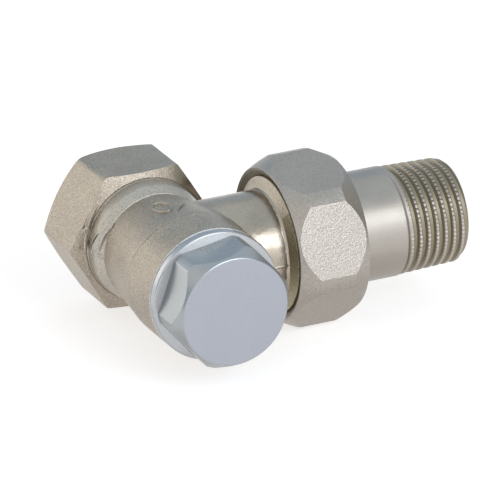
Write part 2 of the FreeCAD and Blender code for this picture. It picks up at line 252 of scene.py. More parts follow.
def thread_groove(start, end, crest, depth, axis, width=1.1, root=0.14, taper=0.0, run_out=0.6,
                  fade=1.3):
    """A helical cutter. depth is towards the axis, or away from it when negative.

    start is where the groove's middle passes the top. width is its mouth and root its floor. Its
    radius falls by taper for each millimetre along. It rises out of the metal over run_out turns,
    by fade times its depth.
    """
    lift = math.copysign(GROOVE_LIFT, depth)
    flare = width / 2 * (1 + GROOVE_LIFT / abs(depth))
    corners = [(-flare, crest + lift), (flare, crest + lift),
               (root / 2, crest - depth), (-root / 2, crest - depth)]
    points = [CENTRE + axis * (start + station) + UP * radius for station, radius in corners]
    shape = drawn(points, closed=True)
    steps = int((end - start) / PIPE_PITCH * GROOVE_STEPS)
    sweep(
        shape, CENTRE, axis, steps, angle=2 * math.pi * steps / GROOVE_STEPS,
        rise=axis * (PIPE_PITCH / GROOVE_STEPS), closes=False,
    )
    ends = [edge for edge in shape.edges if edge.is_boundary]
    bmesh.ops.holes_fill(shape, edges=ends, sides=4)
    for point in shape.verts:
        place = point.co - CENTRE
        station = place.dot(axis)
        outward = (place - axis * station).normalized()
        left = 1 - (station - start) / (PIPE_PITCH * run_out)
        leave = max(0.0, left) * abs(depth) * fade
        point.co += outward * (math.copysign(leave, depth) - (station - start) * taper)
    bmesh.ops.recalc_face_normals(shape, faces=shape.faces)
    return to_object("groove", shape)


print("pipe thread pitch", PIPE_PITCH, "mm")

# %% [markdown]
# The forged body starts as hot brass pressed between two dies, so its middle has no sharp edges:
# the neck, the round middle, the barrel and the branch all flow into each other. Plain solids are
# joined here and rebuilt with a fine voxel grid, and smoothing then melts their meeting lines
# together. A faint cloud pattern pushes the skin in and out by a few hundredths of a millimetre,
# because a forging that was blasted clean is never quite even.

# %% Sizes of the forged body
INLET_FLATS = 27.0
HEX_END = inlet_mouth + 15.15
COLLAR_END = HEX_END + 5.35
NECK_RADIUS = 10.9
BARREL_START = barrel_rim - 10.1
BARREL_RADIUS = 12.85
MIDDLE = ((-5.0, 11.35), (0, 12.05), (BARREL_START, BARREL_RADIUS))
BRANCH_RADIUS = 10.9
BRANCH_END = 23.0
print("hexagon ends at", HEX_END, "collar at", COLLAR_END, "barrel starts at", BARREL_START)


# %% Forged skin
def forged(piece, grid_size, rounds, waves=0.05, wave_size=1.3):
    """Turns a plain solid into a forging: softened edges and a slightly uneven skin."""
    grid = piece.modifiers.new("grid", "REMESH")
    grid.mode, grid.voxel_size = "VOXEL", grid_size
    melt = piece.modifiers.new("melt", "SMOOTH")
    melt.factor, melt.iterations = 0.5, rounds
    clouds = bpy.data.textures.new("forged_skin", "CLOUDS")
    clouds.noise_scale = wave_size
    skin = piece.modifiers.new("skin", "DISPLACE")
    skin.texture, skin.strength, skin.mid_level = clouds, waves, 0.5
    apply_modifiers(piece)
    print(piece.name, "faces after forging", len(piece.data.polygons))
    return piece


# %% Soft middle of the body
NECK_OVERLAP = 2.2
RIM_STOCK = 1.5
body = to_object("valve_forging", turned([
    (COLLAR_END - NECK_OVERLAP, 0), (COLLAR_END - NECK_OVERLAP, NECK_RADIUS - 0.05),
    (COLLAR_END, NECK_RADIUS), *MIDDLE,
    (barrel_rim + RIM_STOCK, BARREL_RADIUS), (barrel_rim + RIM_STOCK, 0),
], CAP_AXIS))
branch = to_object("branch", turned([
    (0, 0), (0, BRANCH_RADIUS), (BRANCH_END, BRANCH_RADIUS), (BRANCH_END, 0),
], TAIL_AXIS))
combine(body, branch, "UNION")
forged(body, grid_size=0.3, rounds=22)

# %% [markdown]
# The inlet's hexagon is forged too, so its long edges are soft, and one of them is worn rounder
# than the rest. Two of its corners were struck a little inwards. Its two ends were turned on a
# lathe afterwards. That leaves crisp arcs where the turned chamfers cross the flats, so the
# hexagon is softened first and crossed with a turned envelope second.

# %% Hexagon bar with a worn edge
HEX_OVERRUN = 1.6
FLAT_WIDTH = INLET_FLATS / math.sqrt(3)
hex_bar = hexagon_bar(inlet_mouth - HEX_OVERRUN, HEX_END + HEX_OVERRUN, INLET_FLATS, 0, CAP_AXIS)
long_edges = [edge for edge in hex_bar.edges if edge.calc_length() > FLAT_WIDTH + 0.4]
worn_edge = min(long_edges, key=lambda edge: edge.verts[0].co.x - edge.verts[0].co.z)
bmesh.ops.bevel(
    hex_bar, geom=[worn_edge], offset=0.9, offset_type="OFFSET", segments=3, profile=0.5,
    affect="EDGES", material=-1, clamp_overlap=True,
)
UPPER_CORNER_SHIFT = Vector((0.42, 0, 0))
LEVEL_CORNER_SHIFT = Vector((0.21, 0, -0.36))
for point in hex_bar.verts:
    if point.co.x < -4 and point.co.z > -1 and point.co.y < CENTRE.y - HEX_END:
        point.co += UPPER_CORNER_SHIFT if point.co.z > 6 else LEVEL_CORNER_SHIFT
inlet = forged(to_object("inlet_hexagon", hex_bar), 0.27, 4, waves=0.04, wave_size=1.6)

# %% Turned ends of the hexagon
ENVELOPE_RADIUS = 16.6
MOUTH_FACE, MOUTH_SLOPE = 12.9, 0.8
REAR_FACE, REAR_SLOPE = 12.5, 0.5
mouth_chamfer_end = inlet_mouth + MOUTH_SLOPE * (ENVELOPE_RADIUS - MOUTH_FACE)
rear_chamfer_start = HEX_END - REAR_SLOPE * (ENVELOPE_RADIUS - REAR_FACE)
combine(inlet, to_object("hex_envelope", turned([
    (inlet_mouth, 0), (inlet_mouth, MOUTH_FACE, 0.12), (mouth_chamfer_end, ENVELOPE_RADIUS),
    (rear_chamfer_start, ENVELOPE_RADIUS),
    (HEX_END, REAR_FACE, 0.15), (HEX_END, 0),
], CAP_AXIS)), "INTERSECT")
print("hexagon's lowest corner", [round(side, 1) for side in extent(inlet)[0]])

# %% [markdown]
# A turned collar stands between the hexagon and the neck. It begins with a small bead at the
# hexagon, runs straight, and falls to the neck in a cone. A fine groove beside the bead gives the
# dark line that separates it from the hexagon's chamfer.

# %% Collar between hexagon and neck
COLLAR_RADIUS = 12.0
COLLAR_FOOT = 10.6
collar = to_object("collar", turned([
    (HEX_END - 1.0, 0), (HEX_END - 1.0, 11.9), (HEX_END - 0.3, 12.1),
    (HEX_END + 0.05, 12.35, 0.1), (HEX_END + 0.35, 12.1, 0.15),
    (COLLAR_END - 2.4, COLLAR_RADIUS, 0.35), (COLLAR_END - 0.25, 11.02),
    (COLLAR_END, COLLAR_FOOT), (COLLAR_END + 0.3, COLLAR_FOOT), (COLLAR_END + 0.3, 0),
], CAP_AXIS))
combine(inlet, to_object("collar_groove", turned([
    (HEX_END - 0.3, 12.12), (HEX_END + 0.3, 11.9), (HEX_END + 0.3, 12.65),
], CAP_AXIS, ring=True)), "DIFFERENCE")
print("collar from", HEX_END, "to", COLLAR_END)

# %% [markdown]
# The barrel's rim is machined after forging, so it is cut last and stays crisp. Its narrow chamfer
# catches the light as a thin bright line, which a painted highlight makes brighter. A shallow
# slanting line on the round middle shows where the tool just touched the forging.

# %% Machined rim
RIM_DEPTH = 0.6
RIM_INSET = 0.5
combine(body, to_object("rim_cut", turned([
    (barrel_rim, 0), (barrel_rim, BARREL_RADIUS - RIM_INSET),
    (barrel_rim - RIM_DEPTH, BARREL_RADIUS + RIM_INSET),
    (barrel_rim - RIM_DEPTH, BARREL_RADIUS + 1), (barrel_rim + 3, BARREL_RADIUS + 1),
    (barrel_rim + 3, 0),
], CAP_AXIS)), "DIFFERENCE")
print("rim chamfer", RIM_DEPTH, "mm deep")

# %% Tool line on the round middle
LINE_SIDE = math.radians(140)
LINE_TILT = math.radians(-8.4)
away = Vector((math.cos(LINE_SIDE), 0, math.sin(LINE_SIDE)))
tool_line = turned([(-0.22, 13.5), (0, 12.95), (0.22, 13.5)], CAP_AXIS, ring=True)
tool_line.transform(Matrix.Translation(-CENTRE))
tool_line.transform(Matrix.Rotation(LINE_TILT, 4, away))
tool_line.transform(Matrix.Translation(CENTRE + CAP_AXIS * (BARREL_START + 0.4) - away * 0.34))
combine(body, to_object("crease", tool_line), "DIFFERENCE")
print("faces with the tool line", len(body.data.polygons))

# %% [markdown]
# The die leaves a plain raised oval on top of the body, where a maker's sign could stand. It is
# left empty. A thin ring is spun, stretched to an oval, bent over the round body and joined on.
# Three small punch marks are stretched balls that are bent over the body and cut away.

# %% Shapes that lie on the body
SKIN = (
    (-13.9, 12.3), (-11.0, COLLAR_RADIUS), (-8.85, 11.0), (-8.4, 10.88), *MIDDLE,
    (20, BARREL_RADIUS),
)


def skin_radius(station):
    """The radius of the forged body at a station of the cap axis."""
    for (start, low), (end, high) in zip(SKIN, SKIN[1:]):
        if station <= end:
            return low + (high - low) * (station - start) / (end - start)
    return BARREL_RADIUS


def lay_on_body(shape, station, angle, slant=0, lift=0.0):
    """Wraps a flat shape round the body. Its X runs round the cap axis and its Y along it."""
    shape.transform(Matrix.Rotation(math.radians(slant), 4, "Z"))
    for point in shape.verts:
        along, radius = station + point.co.y, skin_radius(station + point.co.y)
        turn = math.radians(angle) + point.co.x / radius
        outward = TAIL_AXIS * math.cos(turn) + UP * math.sin(turn)
        point.co = CENTRE + CAP_AXIS * along + outward * (radius + lift + point.co.z)
    return merged(shape)


def pebble(half_sizes, detail=4):
    """A ball stretched to three half-lengths."""
    shape = bmesh.new()
    bmesh.ops.create_icosphere(shape, subdivisions=detail, radius=1)
    bmesh.ops.scale(shape, verts=shape.verts, vec=half_sizes)
    return shape


# %% Raised oval
OVAL_BEAD = 0.17
OVAL_STRETCH = (1.5, 3.15, 2.4)
oval = bmesh.new()
upright = Matrix.Translation((1, 0, 0)) @ Matrix.Rotation(math.pi / 2, 4, "X")
bmesh.ops.create_circle(
    oval, cap_ends=False, segments=10, radius=1, matrix=upright @ Matrix.Scale(OVAL_BEAD, 4),
)
sweep(oval, (0, 0, 0), UP, steps=64)
bmesh.ops.scale(oval, verts=oval.verts, vec=OVAL_STRETCH)
combine(body, to_object("oval", lay_on_body(oval, -0.25, 101.3, lift=-0.06)), "UNION")
print("faces with the oval", len(body.data.polygons))

# %% Punch marks: station, angle, half-lengths, slant
PUNCHES = (
    (6.85, 84.4, (0.5, 0.5, 0.5), 0),
    (2.9, 88.0, (0.34, 3.0, 0.4), -36),
    (-0.6, 102.5, (0.3, 1.2, 0.3), 20),
)
for station, angle, half_sizes, slant in PUNCHES:
    punch = lay_on_body(pebble(half_sizes, detail=3), station, angle, slant)
    combine(body, to_object("punch", punch), "DIFFERENCE")
print("punch marks", len(PUNCHES))

# %% [markdown]
# Where the two dies met, a little brass was squeezed out. Most of this flash is trimmed off, but
# torn ridges are left on the collar and the hexagon, with narrow folds beside them. Each ridge is
# a long thin ball, cut off on one side where the metal tore. The folds are cut the same way as
# the punch marks, so ridge and fold together give a light line next to a dark one.

# %% Flash: station, angle, half-lengths, torn end, slant, lift
combine(body, inlet, "UNION")
combine(body, collar, "UNION")
FLASHES = (
    (-9.9, 159, (4.0, 0.75, 0.5), 3.7, -14, 0.0),
    (-11.0, 168, (3.0, 0.34, 0.45), 2.6, -16, 0.0),
    (-14.2, 172, (3.0, 0.55, 1.75), 1.7, -12, 0.6),
    (-13.8, 157, (4.8, 0.34, 0.5), 4.6, 5, 0.6),
)
for station, angle, half_sizes, torn_end, slant, lift in FLASHES:
    flash = pebble(half_sizes)
    bmesh.ops.bisect_plane(
        flash, geom=flash.verts[:] + flash.edges[:] + flash.faces[:], plane_co=(torn_end, 0, 0),
        plane_no=(1, 0.25, 0), clear_outer=True,
    )
    torn_rim = [edge for edge in flash.edges if edge.is_boundary]
    bmesh.ops.holes_fill(flash, edges=torn_rim, sides=0)
    combine(body, to_object("flash", lay_on_body(flash, station, angle, slant, lift)), "UNION")
print("ridges of flash", len(FLASHES))

# %% Folds: station, angle, half-lengths, slant, lift
FOLDS = (
    (-8.95, 158, (3.9, 0.22, 0.5), -13, 0.1),
    (-10.75, 163, (3.4, 0.2, 0.5), -15, 0.1),
    (-14.45, 161, (4.2, 0.2, 0.6), 9, 1.15),
    (-9.6, 179, (0.5, 1.0, 0.5), 0, 0.2),
)
for station, angle, half_sizes, slant, lift in FOLDS:
    fold = lay_on_body(pebble(half_sizes), station, angle, slant, lift)
    combine(body, to_object("fold", fold), "DIFFERENCE")
print("folds", len(FOLDS), "faces", len(body.data.polygons))

# %% [markdown]
# The branch ends in a shoulder and a male thread for the union nut. Both are turned and cut after
# forging, so they are made as a crisp blank with a helical groove, and joined to the soft branch.
# A trace of the dies' parting line is left in front of the shoulder.

# %% Shoulder and union thread
UNION_THREAD_START, UNION_THREAD_END = 19.85, 28.9
UNION_RADIUS = 13.22
UNION_TIP = 12.4
shoulder = to_object("union_thread_blank", turned([
    (18.0, 0), (18.0, 10.75), (18.45, 10.93, 0.4), (18.95, 11.1, 0.3), (19.15, 11.6, 0.15),
    (UNION_THREAD_START - 0.15, UNION_RADIUS, 0.1), (UNION_THREAD_END - 0.8, UNION_RADIUS),
    (UNION_THREAD_END, UNION_TIP), (UNION_THREAD_END, 0),
], TAIL_AXIS))
combine(shoulder, thread_groove(
    UNION_THREAD_START + 2.6, UNION_THREAD_END + 1.6, UNION_RADIUS, 1.0, TAIL_AXIS,
), "DIFFERENCE")
combine(body, shoulder, "UNION")
print("union thread from", UNION_THREAD_START, "to", UNION_THREAD_END)

# %% Parting line on the branch
seam = pebble((3.2, 0.3, 0.14))
quarter_turn = Matrix.Rotation(math.radians(90), 3, "X")
bmesh.ops.rotate(seam, verts=seam.verts, cent=(0, 0, 0), matrix=quarter_turn)
seam_place = CENTRE + TAIL_AXIS * 16.8 + CAP_AXIS * BRANCH_RADIUS - UP * 0.25
bmesh.ops.translate(seam, verts=seam.verts, vec=seam_place)
combine(body, to_object("seam", seam), "UNION")
print("faces with the parting line", len(body.data.polygons))

# %% [markdown]
# The body is bored along both axes. From the pipe's side come the threaded inlet, the waterway
# and the port with its raised seat. From the cap's side come the chamber and the steps that hold
# the headwork. The union's bore meets the chamber from the side. Both bores are turned as one
# solid and cut away together, and the inlet's thread is wound into its wall.

# %% Bores and inlet thread
INLET_MINOR = 9.3155
INLET_DEPTH = 13
WATERWAY = 7.5
PORT_START, PORT = -12.5, 4.5
SEAT_FACE, SEAT = -7.7, 5.7
CHAMBER_START, CHAMBER_END, CHAMBER = -8.5, 6.3, 8.0
GUIDE_END, GUIDE = 10.7, 9.0
HEADWORK_END, HEADWORK = 15.15, 10.0
RIM_BORE = 11.1
OUTLET_BORE, UNION_SOCKET, UNION_CONE = 6.2, 8.6, 10.4
bores = to_object("cap_axis_bores", turned([
    (inlet_mouth - 1, 0), (inlet_mouth - 1, 10.4), (inlet_mouth + 0.9, INLET_MINOR),
    (inlet_mouth + INLET_DEPTH, INLET_MINOR), (inlet_mouth + INLET_DEPTH, WATERWAY),
    (PORT_START, WATERWAY), (PORT_START, PORT), (SEAT_FACE, PORT), (SEAT_FACE, SEAT),
    (CHAMBER_START, SEAT), (CHAMBER_START, CHAMBER), (CHAMBER_END, CHAMBER),
    (CHAMBER_END, GUIDE), (GUIDE_END, GUIDE), (GUIDE_END, HEADWORK), (HEADWORK_END, HEADWORK),
    (HEADWORK_END, RIM_BORE), (barrel_rim + 1, RIM_BORE), (barrel_rim + 1, 0),
], CAP_AXIS, steps=BORE_STEPS))
combine(bores, to_object("tail_axis_bores", turned([
    (0, 0), (0, OUTLET_BORE), (22.0, OUTLET_BORE), (22.0, UNION_SOCKET), (27.7, UNION_SOCKET),
    (UNION_THREAD_END, UNION_CONE), (30.0, 11.6), (30.0, 0),
], TAIL_AXIS, steps=BORE_STEPS)), "UNION")
combine(body, bores, "DIFFERENCE")
combine(body, thread_groove(
    inlet_mouth + 0.2, inlet_mouth + 12.6, INLET_MINOR, -1.0, CAP_AXIS,
), "DIFFERENCE")
finish_piece(body, "body", ["valve_body"])

# %% [markdown]
# The union nut is cut from round bar that is a little smaller than the hexagon's corners, so each
# corner keeps a narrow round band. Both ends are chamfered wide, which leaves arcs on the flats.
# Crossing a hexagon bar with a turned blank gives exactly those lines.

# %% Outside of the union nut
NUT_FLATS = 30.5
NUT_TURN = 47.2
NUT_BAR = 16.8
NUT_FACE = 15.0
NUT_CHAMFER = 3.6
nut_hexagon = hexagon_bar(nut_start, nut_end, NUT_FLATS, NUT_TURN, TAIL_AXIS)
nut = to_object("union_nut_dressed", nut_hexagon)
combine(nut, to_object("nut_blank", turned([
    (nut_start, 0), (nut_start, NUT_FACE), (nut_start + NUT_CHAMFER, NUT_BAR),
    (nut_end - NUT_CHAMFER, NUT_BAR), (nut_end, NUT_FACE), (nut_end, 0),
], TAIL_AXIS)), "INTERSECT")
round_edges(nut, 0.16, angle=12, segments=3)
print("nut faces", len(nut.data.polygons))

# %% Bore of the union nut
NUT_MOUTH = 14.75
NUT_BORE = 13.27
NUT_LIP, NUT_LIP_WIDTH = 10.9, 2.6
combine(nut, to_object("nut_bore", turned([
    (nut_start - 1, 0), (nut_start - 1, 15.6), (nut_start, NUT_MOUTH), (nut_start + 0.9, NUT_BORE),
    (nut_end - NUT_LIP_WIDTH, NUT_BORE), (nut_end - NUT_LIP_WIDTH, NUT_LIP),
    (nut_end - 0.35, NUT_LIP), (nut_end + 0.5, NUT_LIP + 0.85), (nut_end + 0.5, 0),
], TAIL_AXIS)), "DIFFERENCE")
finish_piece(nut, "union_nut_body", ["union_nut"])

# %% [markdown]
# The tailpiece is turned from bar. Its pipe thread is cut after the crests have been knurled, which
# leaves a row of tiny teeth that grip the sealing hemp. The blank gets the teeth first here too,
# and the groove is cut through them, so the teeth stay only on the narrow crests.

# %% Tailpiece
TAIL_BARREL = 10.75
TAIL_CREST = 10.62
TAIL_BORE = 6.5
SPIGOT = 8.5
FLANGE_START, FLANGE_END, FLANGE = 29.08, 31.28, 12.0
THREAD_EDGE = tail_end - 13.2
tail = to_object("radiator_tail", turned([
    (spigot_start, TAIL_BORE), (spigot_start, SPIGOT, 0.2), (27.7, SPIGOT), (FLANGE_START, 10.3),
    (FLANGE_START, FLANGE), (FLANGE_END, FLANGE), (FLANGE_END, TAIL_BARREL),
    (THREAD_EDGE, TAIL_BARREL, 0.06), (THREAD_EDGE + 0.1, TAIL_CREST),
    (tail_end - 1.15, 10.22), (tail_end, 9.3, 0.15), (tail_end, TAIL_BORE),
], TAIL_AXIS, ring=True))
print("tail faces", len(tail.data.polygons))

# %% Knurl on the crests
KNURL_TEETH = 72
NOTCH_RADIUS = 0.3
NOTCH_MIDDLE = 10.44
THREAD_TAPER = 1 / 32
notch_place = CENTRE + TAIL_AXIS * (tail_end + THREAD_EDGE + 2.6) / 2 + UP * NOTCH_MIDDLE
tapering = Matrix.Translation(notch_place) @ Matrix.Rotation(math.atan(THREAD_TAPER), 4, "Y")
lying = tapering @ Matrix.Rotation(math.radians(90), 4, "Y")
knurl = bmesh.new()
bmesh.ops.create_cone(
    knurl, cap_ends=True, segments=3, radius1=NOTCH_RADIUS, radius2=NOTCH_RADIUS,
    depth=tail_end - THREAD_EDGE + 1.5, matrix=lying @ Matrix.Rotation(math.pi, 4, "Z"),
)
notch = bpy.data.meshes.new("notch")
knurl.to_mesh(notch)
knurl.free()
row = bmesh.new()
for number in range(KNURL_TEETH):
    turn = Matrix.Rotation(2 * math.pi * number / KNURL_TEETH, 4, TAIL_AXIS)
    about_centre = Matrix.Translation(CENTRE) @ turn @ Matrix.Translation(-CENTRE)
    count = len(row.verts)
    row.from_mesh(notch)
    row.verts.ensure_lookup_table()
    bmesh.ops.transform(row, matrix=about_centre, verts=row.verts[count:])
bmesh.ops.recalc_face_normals(row, faces=row.faces)
combine(tail, to_object("knurl_row", row), "DIFFERENCE")
print("knurl teeth", KNURL_TEETH, "tail faces", len(tail.data.polygons))

# %% Pipe thread and sockets of the tail
FIRST_GROOVE = tail_end - 11.6
KEY_FLATS, KEY_DEPTH = 13.0, 10
combine(tail, thread_groove(
    FIRST_GROOVE - PIPE_PITCH * 1.25, tail_end + 1.6, TAIL_CREST, 0.58, TAIL_AXIS, width=1.16,
    root=0.62, taper=THREAD_TAPER, run_out=0.75, fade=1.5,
), "DIFFERENCE")
combine(tail, to_object("ring_seat", turned([
    (24.0, 7.4), (24.0, 9.5), (25.6, 9.5), (25.6, 7.4),
], TAIL_AXIS, ring=True)), "DIFFERENCE")
combine(tail, to_object("key_socket", hexagon_bar(
    tail_end - KEY_DEPTH, tail_end + 1, KEY_FLATS, 0, TAIL_AXIS,
)), "DIFFERENCE")
finish_piece(tail, "tail", ["tailpiece"])

# %% [markdown]
# The lockshield cap keeps the setting safe from curious hands. It is a hexagonal head on a round
# flange, chrome plated over a ground face. The bar was a little smaller than the corners here too,
# so narrow round bands stand between the flats, and a wide cone runs up to the flat front.

# %% Head of the lockshield cap
CAP_FLATS = 22.0
CAP_TURN = 9.5
CAP_FLANGE = 12.85
CAP_BAR = 12.2
CAP_FACE = 10.7
CAP_CHAMFER = 2.62
FLANGE_FRONT = cap_rear + 2.0
FLANGE_RIM = FLANGE_FRONT - 0.35
HEAD_START = FLANGE_RIM - 0.3
cap = to_object("shield_cap", hexagon_bar(HEAD_START, cap_front, CAP_FLATS, CAP_TURN, CAP_AXIS))
combine(cap, to_object("cap_blank", turned([
    (HEAD_START, 0), (HEAD_START, CAP_BAR), (cap_front - CAP_CHAMFER, CAP_BAR),
    (cap_front, CAP_FACE, 0.32), (cap_front, 0),
], CAP_AXIS)), "INTERSECT")
round_edges(cap, 0.1, angle=13, segments=2)
print("cap head faces", len(cap.data.polygons))

# %% Flange and hollow of the cap
CAP_HOLLOW, CAP_HOLLOW_END = 8.05, 24.75
SEAL_INNER, SEAL_OUTER, SEAL_FLOOR = 11.25, 12.35, 17.73
combine(cap, to_object("cap_flange", turned([
    (cap_rear, 0), (cap_rear, CAP_FLANGE, 0.22), (FLANGE_RIM, CAP_FLANGE, 0.3),
    (FLANGE_FRONT, 11.0), (FLANGE_FRONT, 0),
], CAP_AXIS)), "UNION")
combine(cap, to_object("cap_hollow", turned([
    (cap_rear - 1, 0), (cap_rear - 1, CAP_HOLLOW), (CAP_HOLLOW_END, CAP_HOLLOW),
    (CAP_HOLLOW_END, 0),
], CAP_AXIS)), "DIFFERENCE")
combine(cap, to_object("cap_seal_seat", turned([
    (cap_rear - 1, SEAL_INNER), (cap_rear - 1, SEAL_OUTER), (SEAL_FLOOR, SEAL_OUTER),
    (SEAL_FLOOR, SEAL_INNER),
], CAP_AXIS, ring=True)), "DIFFERENCE")
finish_piece(cap, "cap", ["lockshield_cap"])

# %% [markdown]
# The finishes are node materials. Their sums are easier to read as Python than as a web of Math
# nodes, so a small class wraps one socket and turns + - * / and powers into nodes. A second class
# holds a node tree and has one method that adds any other node.


# %% Shader sums
class Signal:
    """One value in a node tree."""

    def __init__(self, tree, socket):
        self.tree, self.socket = tree, socket

    def sum(self, operation, first, second):
        node = self.tree.nodes.new("ShaderNodeMath")
        node.operation = operation
        for entry, value in zip(node.inputs, (first, second)):
            plug(self.tree, entry, value)
        return Signal(self.tree, node.outputs[0])

    def __add__(self, other):
        return self.sum("ADD", self, other)

    def __sub__(self, other):
        return self.sum("SUBTRACT", self, other)

    def __rsub__(self, other):
        return self.sum("SUBTRACT", other, self)

    def __mul__(self, other):
        return self.sum("MULTIPLY", self, other)

    def __truediv__(self, other):
        return self.sum("DIVIDE", self, other)

    def __pow__(self, other):
        return self.sum("POWER", self, other)

    __radd__ = __add__
    __rmul__ = __mul__


def plug(tree, entry, value):
    """Links a signal to a socket, or sets the socket's plain value."""
    if isinstance(value, Signal):
        tree.links.new(value.socket, entry)
    else:
        entry.default_value = value


# %% Node trees
class NodeTree:
    """An emptied node tree that takes new nodes."""

    def __init__(self, owner):
        owner.use_nodes = True
        self.tree = owner.node_tree
        self.tree.nodes.clear()

    def node(self, kind, sockets=None, out=0, **settings):
        """Adds one node: its settings first, then the values or links of its sockets."""
        node = self.tree.nodes.new("ShaderNode" + kind)
        for name, value in settings.items():
            setattr(node, name, value)
        for name, value in (sockets or {}).items():
            plug(self.tree, node.inputs[name], value)
        return Signal(self.tree, node.outputs[out])


# %% Finishes
class Finish(NodeTree):
    """A material with one Principled shader."""

    def __init__(self, name, **fixed):
        self.material = bpy.data.materials.new(name)
        super().__init__(self.material)
        self.shader = self.tree.nodes.new("ShaderNodeBsdfPrincipled")
        end = self.tree.nodes.new("ShaderNodeOutputMaterial")
        self.tree.links.new(self.shader.outputs[0], end.inputs["Surface"])
        self.feed(**fixed)

    def feed(self, **sockets):
        for name, value in sockets.items():
            plug(self.tree, self.shader.inputs[name.replace("_", " ")], value)

    def dress(self, piece):
        """Puts the finish in every material slot of a piece or CAD node."""
        if not piece.material_slots:
            piece.data.materials.append(self.material)
        for slot in piece.material_slots:
            slot.link = "DATA"
            slot.material = self.material


def shown(red, green, blue):
    """A colour as the eye sees it, 0 to 255, as the linear value a shader wants."""
    shares = [channel / 255 for channel in (red, green, blue)]
    linear = [c / 12.92 if c <= 0.04045 else ((c + 0.055) / 1.055) ** 2.4 for c in shares]
    return (*linear, 1.0)


# %% Patterns every metal shares
def grains(finish, size, detail=2.0, roughness=0.5):
    """Noise whose features are about size millimetres across."""
    return finish.node("TexNoise", {
        "Vector": finish.node("TexCoord", out=3), "Scale": 1 / (size * MILLIMETRE),
        "Detail": detail, "Roughness": roughness,
    })


def blend(finish, factor, first, second):
    """Mixes two colours by a signal."""
    return finish.node("Mix", {0: factor, 6: first, 7: second}, out=2, data_type="RGBA")


def smooth_step(finish, signal, zero_at, one_at):
    """Rises smoothly from 0 to 1 between two values, of which either may be the larger."""
    return finish.node(
        "MapRange", {0: signal, 1: zero_at, 2: one_at, 3: 0.0, 4: 1.0},
        interpolation_type="SMOOTHSTEP",
    )


def band(finish, signal, rise, fall):
    """1 between two soft edges, each given as where it is 0 and where it is 1."""
    return smooth_step(finish, signal, *rise) * smooth_step(finish, signal, *fall)


def relief(finish, height, distance):
    """Bump whose height signal of 1 stands distance millimetres high."""
    return finish.node("Bump", {"Distance": distance * MILLIMETRE, "Height": height})


# %% Places on the valve
def place_of(finish):
    """The place on the valve in millimetres: along the tail, along the cap axis, and up."""
    entry = finish.node("SeparateXYZ", {0: finish.node("TexCoord", out=3)})
    outputs = entry.socket.node.outputs
    along_tail, across, up = [Signal(finish.tree, socket) / MILLIMETRE for socket in outputs]
    return along_tail, CENTRE.y - across, up


def distance_from_axis(first, second):
    """How far a place is from an axis, from its two coordinates across that axis."""
    return (first * first + second * second) ** 0.5


# %% [markdown]
# The body, the nut and the tail are nickel plated brass. Blasted forgings are sandy and dull, bar
# stock shows a coarser sparkle, and turned faces are smoother. One function makes all three: two
# tones in soft patches, a grain that stands up from the surface, and a gloss that changes a little
# from place to place.

# %% Metal
PATCH_SIZE = 6.0
PATCH_EDGES = (0.35, 0.65)
GRAIN_EDGES = (0.3, 0.7)
PIT_EDGES = (0.5, 0.32)
SPARK_EDGES = (0.52, 0.7)
PIT_DARKER = 0.82
SPARK_LIGHTER = 1.16
GLOSS_GAIN = 0.16
GRAIN_LOSS = 0.85


def metal(name, light, dark, grain, grain_height, roughness, shades=(), gloss=None, specks=0.0,
          dulling=0.08):
    """A plated metal in two tones.

    grain is the size of its bumps and grain_height how high they stand. shades are pairs of a
    signal of places and their tone, which dulling makes rougher. gloss is a signal of smoother
    places. specks is how strongly pits and sparks show.
    """
    finish = Finish(name, Metallic=1.0)
    patches = smooth_step(finish, grains(finish, PATCH_SIZE, 3.0), *PATCH_EDGES)
    fine = grains(finish, grain, 3.0, 0.6)
    mottle = patches * 0.55 + smooth_step(finish, fine, *GRAIN_EDGES) * 0.45
    tone = blend(finish, mottle, shown(*dark), shown(*light))
    rough = patches * 0.06 + (roughness - 0.03)
    sandy = 1.0
    if gloss:
        smoother = gloss(finish)
        rough = rough - smoother * GLOSS_GAIN
        sandy = 1 - smoother * GRAIN_LOSS
    for places, shade_tone in shades:
        amount = places(finish)
        tone = blend(finish, amount, tone, shown(*shade_tone))
        rough = rough + amount * dulling
    if specks:
        sand = grains(finish, grain * 0.8, 1.0, 0.5)
        pits = smooth_step(finish, sand, *PIT_EDGES) * sandy * specks
        sparks = smooth_step(finish, sand, *SPARK_EDGES) * sandy * specks
        tone = blend(finish, pits, tone, shown(*[channel * PIT_DARKER for channel in dark]))
        tone = blend(finish, sparks, tone, shown(*[channel * SPARK_LIGHTER for channel in light]))
    finish.feed(
        Base_Color=tone, Roughness=rough, Normal=relief(finish, fine * sandy, grain_height))
    return finish


# %% [markdown]
# A finish isn't the same all over a piece. The branch and the collar were turned smooth. Light and
# shade are painted into some tones as well: the shoulder's face is lighter on one side of a
# slanting line and olive on the other, the thread grooves and the nut's mouth get a browner painted
# shade, the collar is lightened as a painted sheen and the barrel's rim as a painted highlight, and
# on the cap the flange is a painted highlight and the flats and cone a painted shade. Each of these
# places is found from its distance along and from the two axes, in a small function that gives 1
# inside the place and 0 outside.

# %% Places on the forging
SHOULDER_REAR = (18.85, 19.1)
SHOULDER_FRONT = (19.9, 20.2)
SHADOW_SLOPE = 1.07


def turned_places(finish):
    """1 on the branch, less on the union thread, a trace on the collar and the chamfers."""
    along_tail, along_cap, up = place_of(finish)
    radius = distance_from_axis(along_tail, up)
    branch = band(finish, along_tail, (3.0, 10.0), SHOULDER_REAR[::-1])
    rear_edge = along_cap + (radius - REAR_FACE) * REAR_SLOPE - HEX_END
    rear = smooth_step(finish, rear_edge, -0.14, -0.05)
    rear = rear * smooth_step(finish, along_cap, COLLAR_END + 0.2, COLLAR_END - 0.1)
    mouth_edge = along_cap - (radius - MOUTH_FACE) * MOUTH_SLOPE - inlet_mouth
    mouth = smooth_step(finish, mouth_edge, 0.14, 0.05)
    thread = smooth_step(finish, along_tail, *SHOULDER_FRONT) * 0.8
    return branch + thread + (rear + mouth) * 0.15 * smooth_step(finish, along_tail, 17.5, 16.5)


